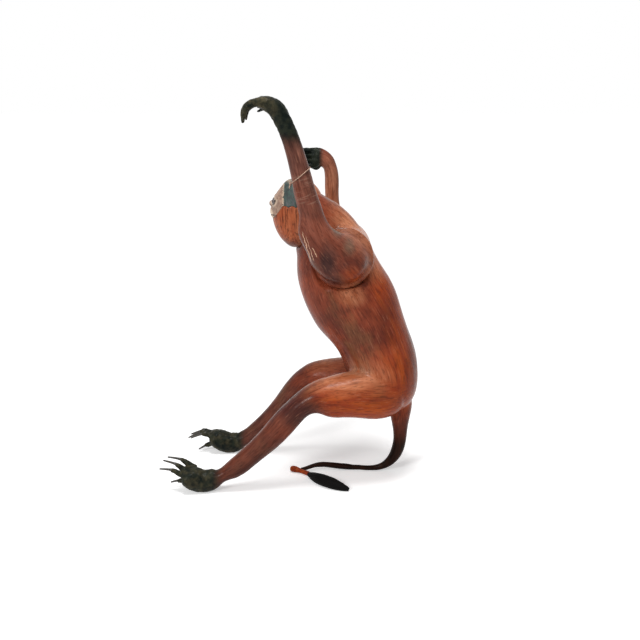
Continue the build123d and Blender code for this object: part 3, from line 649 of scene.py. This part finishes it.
def body_skin():
    """Torso, legs, feet and tail under one skin, softened where the limbs leave the torso."""
    nodes = ["torso", "tail"]
    for side in SIDES:
        nodes += [side + "_leg", side + "_foot", side + "_hip_dowel", side + "_ankle_dowel"]
    nodes += ["neck_dowel", "tail_dowel"]
    torso = places_of(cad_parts["torso"].data)
    head = places_of(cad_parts["head"].data)
    nape = np.vstack([
        torso[(torso[:, 2] > NAPE_LOW * MM) & (torso[:, 0] > NAPE_FRONT * MM)],
        head[(head[:, 2] > NAPE_LOW * MM) & (head[:, 2] < NAPE_HIGH * MM) & (head[:, 0] > NAPE_FRONT * MM)],
    ])
    nape_middle = nape.mean(axis=0)
    piece = fused("body", nodes, 1.0, swells=[nape_middle + (nape - nape_middle) * NAPE_INSET])
    mesh = piece.data
    places = places_of(mesh)
    _, torso_ratio = along(SPINE, places)
    limb_ratio = np.full(len(places), 9.0)
    for limb in (LEFT_LEG, RIGHT_LEG, TAIL):
        _, ratio = along(limb, places)
        limb_ratio = np.minimum(limb_ratio, ratio)
    near_crease = np.exp(-(((torso_ratio - limb_ratio) / 0.16) ** 2)) * ease(-torso_ratio, -1.5, -1.2)
    reach, out = from_shoulder(places)
    socket = ease(-reach, -38.5, -36.5) * ease(out, 14.0, 17.0)
    near_shoulder = ease(-reach, -66.0, -54.0)
    relax(mesh, 0.5 * near_crease * (1.0 - socket), 45)
    relax(mesh, 0.5 * near_shoulder * (1.0 - socket), 150)
    relax(mesh, 0.35 * (1.0 - socket), 4)

    places = places_of(mesh)
    reach, out = from_shoulder(places)
    widen(places, LIP_ROOM * ease(-reach, -47.0, -38.0) * ease(out, SOCKET_OUT + 0.1, SOCKET_OUT + 0.4))
    reach, out = from_shoulder(places)
    flow, torso_ratio = along(SPINE, places)
    flat_ratio = np.abs(flow[:, 1]) / np.maximum(np.linalg.norm(flow[:, :2], axis=1), 1.0e-6) * torso_ratio
    flank = FLANK_OUT * np.sqrt(np.clip(1.0 - (flat_ratio / 1.05) ** 2, 0.0, 1.0))
    flank -= CREASE_DEPTH * np.exp(-np.maximum(reach - FULL_RADIUS, 0.0) / CREASE_WIDTH)
    past_edge = ease(out, SOCKET_OUT + 0.1, SOCKET_OUT + 0.4)
    dished = ease(reach, 36.6, 37.3) * ease(-reach, -60.0, -48.0) * past_edge
    move_out(places, np.maximum(flank - out, 0.0) * dished * under_shoulder(places))
    set_places(mesh, places)
    relax(mesh, 0.5 * ease(reach, 38.0, 40.0) * near_shoulder, 12)
    places = places_of(mesh)
    flow, torso_ratio = along(SPINE, places)
    side_flow = np.zeros_like(flow)
    limb_ratio = np.full(len(places), 9.0)
    for limb in (LEFT_LEG, RIGHT_LEG, TAIL):
        limb_flow, ratio = along(limb, places)
        closer = ratio < limb_ratio
        side_flow[closer] = limb_flow[closer]
        limb_ratio = np.minimum(limb_ratio, ratio)
    side_share = ease(torso_ratio - limb_ratio, -0.15, 0.35)
    on_left = places[:, 1] < MIDDLE_Y * MM
    ankle = np.where(on_left, ANKLE_X["left"], ANKLE_X["right"]) * MM
    dark = ease(ankle - places[:, 0], -0.016, 0.012) * ease(-places[:, 2], -0.07, -0.05)
    shin = ease(ankle - places[:, 0], -0.16, -0.02) * ease(-places[:, 2], -0.11, -0.09)
    _, tail_ratio = along(TAIL, places)
    finish_skin(piece, flow, dark, side_flow, side_share)
    tail_soot = ease(-tail_ratio, -1.6, -1.3) * ease(-places[:, 2], -0.082, -0.036)
    store(mesh, "soot", np.maximum(tail_soot, shin * np.where(on_left, 0.45, 0.3)))
    store(mesh, "umber", 0.4 * shin)
    store(mesh, "dry", 0.6 * dark)
    dress(piece, "torso", nodes, LACQUER)


def sawn(piece, side, far):
    """Keeps one side of an arm's elbow seam, with a flat end there."""
    elbow = Vector(ELBOWS[side]) * MM
    axis = Vector(ELBOW_AXES[side]).normalized()
    level = elbow + axis * (SEAM_GAP * MM if far else 0.0)
    start = Vector(FOREARM_STARTS[side]) * MM
    shell = bmesh.new()
    shell.from_mesh(piece.data)
    near = [face for face in shell.faces if (face.calc_center_median() - elbow).length < 0.03]
    corners = dict.fromkeys(corner for face in near for corner in face.verts)
    edges = dict.fromkeys(edge for face in near for edge in face.edges)
    bmesh.ops.bisect_plane(shell, geom=[*corners, *edges, *near], plane_co=level, plane_no=axis)
    away = []
    for face in shell.faces:
        middle = face.calc_center_median()
        beyond = (middle - level).dot(axis) > 0.0 and middle.dot(start) > start.dot(start)
        if beyond != far:
            away.append(face)
    bmesh.ops.delete(shell, geom=away, context="FACES")
    rim = [edge for edge in shell.edges if edge.is_boundary]
    for edge in rim:
        edge.smooth = False
    bmesh.ops.holes_fill(shell, edges=rim)
    shell.to_mesh(piece.data)
    shell.free()


def arm_skins():
    """Each arm under one skin from the shoulder to the fingers, then sawn through at the elbow."""
    for side in SIDES:
        limb, across = ARM_LINES[side]
        nodes = [side + "_forearm", side + "_hand", side + "_thumb", side + "_wrist_dowel"]
        nodes += [side + "_finger_" + str(index) for index in range(1, 5)]
        plug = (ELBOWS[side], ELBOW_AXES[side], *ELBOW_PLUG)
        solid = places_of(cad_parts[side + "_upper_arm"].data)
        flow, _ = along(limb, solid, across)
        _, out = from_shoulder(solid)
        swell = solid[(flow[:, 2] < SWELL_RUNS[side] * MM) & (out > SWELL_OUT)]
        upper = fused(side + "_upper_arm_skin", [side + "_upper_arm", *nodes], 0.7, [plug], [swell])
        places = places_of(upper.data)
        reach, out = from_shoulder(places)
        root = ease(out, 34.5, 38.0) * ease(-reach, -72.0, -52.0)
        relax(upper.data, 0.5 * root, 200)
        relax(upper.data, 0.4 * ease(out, 33.5, 36.0), 5)
        places = places_of(upper.data)
        reach, out = from_shoulder(places)
        lip = ease(reach, 28.0, SOCKET_RADIUS - 0.3) * ease(-reach, -40.0, -37.0)
        lip *= ease(out, SOCKET_OUT + 0.15, SOCKET_OUT + 0.5) * ease(-out, -44.0, -38.0)
        widen(places, LIP * lip)
        reach, out = from_shoulder(places)
        full = FULL_DEPTH * np.sqrt(1.0 - np.clip(reach / FULL_RADIUS, 0.0, 1.0) ** 6) + SOCKET_OUT + 0.4
        at_root = ease(out, SOCKET_OUT + 0.15, SOCKET_OUT + 0.5) * (reach < FULL_RADIUS + 1.0)
        move_out(places, np.maximum(full - out, 0.0) * at_root * under_shoulder(places, 24.0))
        if side == "left":
            height = places[:, 2] / MM
            low, full_low, full_high, high = FRONT_HEIGHTS
            forward = ease(height, low, full_low) * ease(-height, -high, -full_high) * ease(out, 38.0, 44.0)
            places[:, 0] -= FRONT_SWELL * MM * forward * ease(-outward(upper.data)[:, 0], 0.0, 0.8)
        set_places(upper.data, places)
        relax(upper.data, 0.5 * ease(out, 35.0, 37.5) * ease(-reach, -60.0, -46.0), 40)
        places = places_of(upper.data)
        flow, _ = along(limb, places, across)
        height = places[:, 2] / MM
        if side == "left":
            dark = ease(height, *HAND_HEIGHTS)
        else:
            dark = ease(-places[:, 0], -0.046, -0.030) * ease(height, 345.0, 365.0)
        finish_skin(upper, flow, dark, tool_marks=0.15)
        if side == "left":
            low, full_low, full_high, high = BAND_HEIGHTS
            store(upper.data, "band", ease(height, low, full_low) * ease(-height, -high, -full_high))
            store(upper.data, "outer", ease(-outward(upper.data)[:, 1], 0.2, 0.5))
            store(upper.data, "dry", ease(-places[:, 0], 0.004, 0.024))
            umber = 0.2 + 0.3 * ease(height, 290.0, 320.0) + 0.35 * ease(height, 340.0, 405.0)
            store(upper.data, "umber", umber)
        else:
            store(upper.data, "umber", 0.45 * ease(places[:, 1], 0.0, 0.06))
        fore = bpy.data.objects.new(side + "_forearm_skin", upper.data.copy())
        SCENE.collection.objects.link(fore)
        sawn(upper, side, False)
        sawn(fore, side, True)
        dress(upper, side + "_arm", [side + "_upper_arm"], LACQUER)
        dress(fore, side + "_forearm", nodes, LACQUER)


# Head: hood edge and face, in millimetres
HOOD_FRONT_X = -8.5
EYE_PLACE = (-18.6, 10.0, 352.6)
NOSE_PLACE = (-25.0, 0.0, 349.0)
MOUTH_PLACE = (-23.0, 0.0, 337.0)


def head_skins():
    """Cheeks, hood, ears and face."""
    ruff = fused("head_ruff", ["head"], 0.6)
    soften(ruff, 2)
    places = places_of(ruff.data)
    flow, _ = along(NECK_TO_CROWN, places)
    finish_skin(ruff, flow, np.zeros(len(places)))
    below_hood = ease(-places[:, 0], -0.020, -0.004)
    repaint(ruff.data, "orange", 0.65 * below_hood)
    repaint(ruff.data, "tan", 0.9 - 0.6 * below_hood)
    # Painted shadow along the ruff's lower edge
    repaint(ruff.data, "plum_and_shade", 0.7 * ease(-places[:, 2], -0.315, -0.300))
    store(ruff.data, "stroke", below_hood)
    dress(ruff, "torso", ["head"], LACQUER)

    hood = fused("hood_skin", ["hood"], 0.5)
    soften(hood, 2)
    places = places_of(hood.data)
    flow, _ = along(NECK_TO_CROWN, places)
    store(hood.data, "flow", flow)
    at_front = places[:, 0] / MM - HOOD_FRONT_X
    # Painted sheen: a pale band over the top of the head
    crown_sheen = 0.6 * ease(places[:, 2] / MM, 373.0, 378.0)
    store(hood.data, "rim", np.maximum(ease(-at_front, -2.6, -0.5), crown_sheen))
    dress(hood, "torso", ["hood"], HOOD)

    for side in SIDES:
        ear = fused(side + "_ear_skin", [side + "_ear"], 0.6)
        soften(ear, 4)
        places = places_of(ear.data)
        store(ear.data, "flow", places)
        store(ear.data, "rim", np.zeros(len(places)))
        dress(ear, "torso", [side + "_ear"], HOOD)


def face_skin():
    """The pale face with lids, nostrils and lips."""
    face = fused("face_skin", ["face"], 0.45)
    soften(face, 5)
    places = places_of(face.data)
    local = places / MM - np.array((0.0, MIDDLE_Y, 0.0))
    mirrored = local * (1.0, 0.0, 1.0)
    mirrored[:, 1] = np.abs(local[:, 1])
    from_eye = np.linalg.norm((mirrored - EYE_PLACE)[:, 1:], axis=1)
    front = ease(-local[:, 0], 9.5, 12.0)
    lid = 0.7 * np.exp(-(((from_eye - 4.3) / 0.9) ** 2)) * front
    nostril = np.linalg.norm(mirrored - np.array(NOSE_PLACE) - (0.0, 2.0, -1.6), axis=1)
    pit = 1.1 * np.exp(-((nostril / 1.2) ** 2))
    grain = 0.12 * ripple(places, 500.0)
    set_places(face.data, places + outward(face.data) * ((lid - pit + grain) * MM)[:, None])
    from_mouth = np.linalg.norm((mirrored - MOUTH_PLACE) / (8.0, 11.0, 6.5), axis=1)
    store(face.data, "white", np.maximum(ease(-from_mouth, -1.3, -0.5), ease(-from_eye, -8.0, -5.5) * 0.5))
    socket = ease(-from_eye, -5.4, -3.8) * front
    lips = np.exp(-(((local[:, 2] - 336.0) / 0.8) ** 2)) * ease(-local[:, 0], 14.0, 17.0)
    nostril_shade = 0.9 * np.exp(-((nostril / 1.5) ** 2))
    store(face.data, "shade", np.maximum(np.maximum(socket, 0.8 * lips), nostril_shade))
    dress(face, "torso", ["face"], FACE)
    eye_material = eye_glass()
    for side in SIDES:
        paint_with(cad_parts[side + "_eye"], eye_material)


def tube(name, line, radii, sides=10, closed=False):
    """A mesh tube along a line of points."""
    shell = bmesh.new()
    rings = []
    count = len(line)
    for index, point in enumerate(line):
        before = line[(index - 1) % count] if closed else line[max(index - 1, 0)]
        after = line[(index + 1) % count] if closed else line[min(index + 1, count - 1)]
        tangent = (Vector(after) - Vector(before)).normalized()
        across = tangent.orthogonal() if abs(tangent.y) > 0.95 else tangent.cross(Vector((0, 1, 0)))
        across = across.normalized()
        over = tangent.cross(across)
        ring = []
        for corner in range(sides):
            angle = 2 * math.pi * corner / sides
            offset = across * math.cos(angle) + over * math.sin(angle)
            ring.append(shell.verts.new(Vector(point) + offset * radii[index]))
        rings.append(ring)
    spans = count if closed else count - 1
    for index in range(spans):
        ring, following = rings[index], rings[(index + 1) % count]
        for corner in range(sides):
            beside = (corner + 1) % sides
            shell.faces.new((ring[corner], ring[beside], following[beside], following[corner]))
    if not closed:
        shell.faces.new(list(reversed(rings[0])))
        shell.faces.new(rings[-1])
    bmesh.ops.recalc_face_normals(shell, faces=shell.faces)
    mesh = bpy.data.meshes.new(name)
    shell.to_mesh(mesh)
    shell.free()
    mesh.polygons.foreach_set("use_smooth", [True] * len(mesh.polygons))
    piece = bpy.data.objects.new(name, mesh)
    SCENE.collection.objects.link(piece)
    return piece


# Wire claws, in millimetres: how far an end is looked for, the bend, and the wire's radius along its length
CLAW_END = 0.6
CLAW_STEPS = 14
CLAW_BEND = 0.6
CLAW_RADIUS = 1.8
CLAW_TAPER = 0.85
CLAW_BINDING = 0.35


def claws():
    """Wire claws with a bound root and a slight bend, each in the place of its node."""
    for side in SIDES:
        for index in range(1, 5):
            node = side + "_claw_" + str(index)
            places = places_of(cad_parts[node].data)
            tip = places[places[:, 0] < places[:, 0].min() + CLAW_END * MM].mean(axis=0)
            root = places[places[:, 0] > places[:, 0].max() - CLAW_END * MM].mean(axis=0)
            line = []
            radii = []
            for step in range(CLAW_STEPS + 1):
                share = step / CLAW_STEPS
                point = Vector(root + (tip - root) * share)
                point.z += CLAW_BEND * MM * math.sin(math.pi * share)
                line.append(point)
                binding = CLAW_BINDING * math.exp(-(((share - 0.3) / 0.07) ** 2))
                radii.append(MM * (CLAW_RADIUS - CLAW_TAPER * share**1.5 + binding))
            piece = tube(node + "_wire", line, radii)
            dress(piece, "torso", [node], CLAW)


def tail_end():
    """The stick that the tail's end is bound to, and its black tuft."""
    tip = fused("tail_tip_skin", ["tail_tip"], 0.5)
    soften(tip, 4)
    places = places_of(tip.data)
    finish_skin(tip, places, np.zeros(len(places)), tool_marks=0.12)
    repaint(tip.data, "orange", np.ones(len(places)))
    dress(tip, "torso", ["tail_tip"], LACQUER)
    tuft = fused("tail_tuft_skin", ["tail_tuft"], 0.6)
    soften(tuft, 4)
    places = places_of(tuft.data)
    flow, _ = along(TUFT_LINE, places, (0, 0, 1))
    groove = ripple(flow * (1.0, 1.0, 0.12), 520.0)
    set_places(tuft.data, places + outward(tuft.data) * (0.35 * MM * groove)[:, None])
    store(tuft.data, "flow", flow)
    dress(tuft, "torso", ["tail_tuft"], TUFT)


# Twine, in millimetres
TWINE_CENTRE = (14.4, -100.0, 388.0)
TWINE_SLOPE = (0.775, 0.0, 0.632)
TWINE_HALF_LENGTH = 13.6
TWINE_HALF_WIDTH = 12.2
STRAND_RADIUS = 0.34
STRAND_OFFSET = 0.3
TWIST_TURNS = 26
TWINE_STEPS = 312
KNOT_CENTRE = (2.6, -101.8, 379.0)
KNOT_STEPS = 120
KNOT_STRAND = 0.62
# The twine's two ends below the knot: how each leans and drops, how far both stand out, and their radius
END_FALLS = [(-1.6, -5.5), (1.0, -4.2)]
END_OUT = -1.2
END_STEPS = 8
END_RADIUS = 0.6


def twine():
    """Two strands twisted together round the forearm, with a knot and two short ends."""
    slope = Vector(TWINE_SLOPE)
    across = Vector((0.0, 1.0, 0.0))
    upright = slope.cross(across)
    centre = Vector(TWINE_CENTRE)
    strands = []
    for strand in range(2):
        line = []
        for step in range(TWINE_STEPS):
            angle = 2 * math.pi * step / TWINE_STEPS
            spoke = slope * math.cos(angle) * TWINE_HALF_LENGTH + across * math.sin(angle) * TWINE_HALF_WIDTH
            twist = TWIST_TURNS * angle + math.pi * strand
            offset = spoke.normalized() * math.cos(twist) + upright * math.sin(twist)
            line.append((centre + spoke + offset * STRAND_OFFSET) * MM)
        radii = [STRAND_RADIUS * MM] * TWINE_STEPS
        strands.append(tube("twine_strand_" + str(strand + 1), line, radii, 6, True))
    knot_line = []
    for step in range(KNOT_STEPS):
        angle = 2 * math.pi * step / KNOT_STEPS
        ring = 1.15 + 0.75 * math.cos(3 * angle)
        turn = Vector((0.8 * math.sin(3 * angle), ring * math.cos(2 * angle), ring * math.sin(2 * angle)))
        knot_line.append((Vector(KNOT_CENTRE) + turn) * MM)
    knot = tube("twine_knot_turns", knot_line, [KNOT_STRAND * MM] * KNOT_STEPS, 8, True)
    ends = []
    for index, (lean, drop) in enumerate(END_FALLS):
        line = []
        for step in range(END_STEPS + 1):
            share = step / END_STEPS
            fall = Vector((END_OUT * share, lean * share, drop * share * (0.6 + 0.4 * share)))
            line.append((Vector(KNOT_CENTRE) + fall) * MM)
        ends.append(tube("twine_end_" + str(index + 1), line, [END_RADIUS * MM] * len(line), 8))
    for piece in (*strands, knot, *ends):
        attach(piece, "left_forearm")
        paint_with(piece, TWINE)
    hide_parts("twine")
    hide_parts("twine_knot")


def hidden_dowels():
    """Dowels that stay inside the shoulders and elbows."""
    made = dowel_wood()
    for side in SIDES:
        for joint in ("shoulder", "elbow"):
            paint_with(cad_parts[side + "_" + joint + "_dowel"], made)


# Studio: soft light from all round and two lamps, in metres and watts
WORLD_LIGHT = 0.3
LAMPS = [
    ("key", (-0.95, -1.35, 0.95), 14.0, 0.4),
    ("top", (0.0, -0.4, 1.9), 24.0, 0.6),
]
LAMP_TARGET = (0.06, -0.05, 0.24)
FLOOR_MIDDLE = (0.04, -0.04, 0.0)
FLOOR_SIZE = 60.0
# The floor's white grows from the figure outwards: between these distances, from one strength to the other
GLOW_REACH = (0.2, 3.0)
GLOW_STRENGTH = (0.4, 0.8)
# The photograph's view, in metres and degrees
CAMERA_PLACE = (0.036, -1.0642, 0.4691)
CAMERA_DOWN = 14.5
VIEW_ANGLE = 41.35
SENSOR = 36.0


def seen_directly(tree):
    """1 for what the camera sees, straight or in a reflection or through glass, and 0 for light."""
    rays = add(tree, "ShaderNodeLightPath").outputs
    seen = sums(tree, "MAXIMUM", rays["Is Camera Ray"], rays["Is Glossy Ray"])
    return sums(tree, "MAXIMUM", seen, rays["Is Transmission Ray"])


def studio():
    """Pale floor, white surroundings and two soft lamps."""
    bpy.ops.mesh.primitive_plane_add(size=FLOOR_SIZE, location=(0.0, 0.0, 0.0))
    floor = bpy.context.object
    floor.name = "floor"
    made, tree, shader = material("floor")
    shader.inputs["Base Color"].default_value = (0.88, 0.88, 0.88, 1.0)
    shader.inputs["Roughness"].default_value = 0.9
    shader.inputs["Specular IOR Level"].default_value = 0.0
    seen = seen_directly(tree)
    place = add(tree, "ShaderNodeNewGeometry").outputs["Position"]
    inputs = {0: place, 1: FLOOR_MIDDLE}
    far = add(tree, "ShaderNodeVectorMath", inputs, operation="DISTANCE").outputs["Value"]
    glow_share = sums(tree, "MULTIPLY", seen, ramp(tree, far, *GLOW_REACH, *GLOW_STRENGTH))
    glow = add(tree, "ShaderNodeEmission", {"Color": (1.0, 1.0, 1.0, 1.0), "Strength": glow_share})
    both = add(tree, "ShaderNodeAddShader", {0: shader.outputs[0], 1: glow.outputs[0]})
    tree.links.new(both.outputs[0], tree.nodes["Material Output"].inputs["Surface"])
    paint_with(floor, made)

    world = bpy.data.worlds.new("studio")
    SCENE.world = world
    world.use_nodes = True
    tree = world.node_tree
    background = tree.nodes["Background"]
    background.inputs["Color"].default_value = (1.0, 1.0, 1.0, 1.0)
    tree.links.new(ramp(tree, seen_directly(tree), 0.0, 1.0, WORLD_LIGHT, 1.0), background.inputs["Strength"])

    for name, place, watts, size in LAMPS:
        lamp = bpy.data.lights.new(name, "AREA")
        lamp.energy = watts
        lamp.size = size
        stand = bpy.data.objects.new(name, lamp)
        stand.location = place
        stand.rotation_euler = (Vector(LAMP_TARGET) - Vector(place)).to_track_quat("-Z", "Y").to_euler()
        SCENE.collection.objects.link(stand)


def camera():
    """The photograph's view: from the figure's left, looking slightly down."""
    data = bpy.data.cameras.new("camera")
    data.sensor_width = SENSOR
    data.lens = SENSOR / 2 / math.tan(math.radians(VIEW_ANGLE / 2))
    data.clip_end = 200.0
    made = bpy.data.objects.new("camera", data)
    made.location = CAMERA_PLACE
    made.rotation_euler = (math.radians(90.0 - CAMERA_DOWN), 0.0, 0.0)
    SCENE.collection.objects.link(made)
    SCENE.camera = made


SCENE.view_settings.view_transform = "Standard"
body_skin()
arm_skins()
head_skins()
face_skin()
claws()
tail_end()
twine()
hidden_dowels()
studio()
camera()
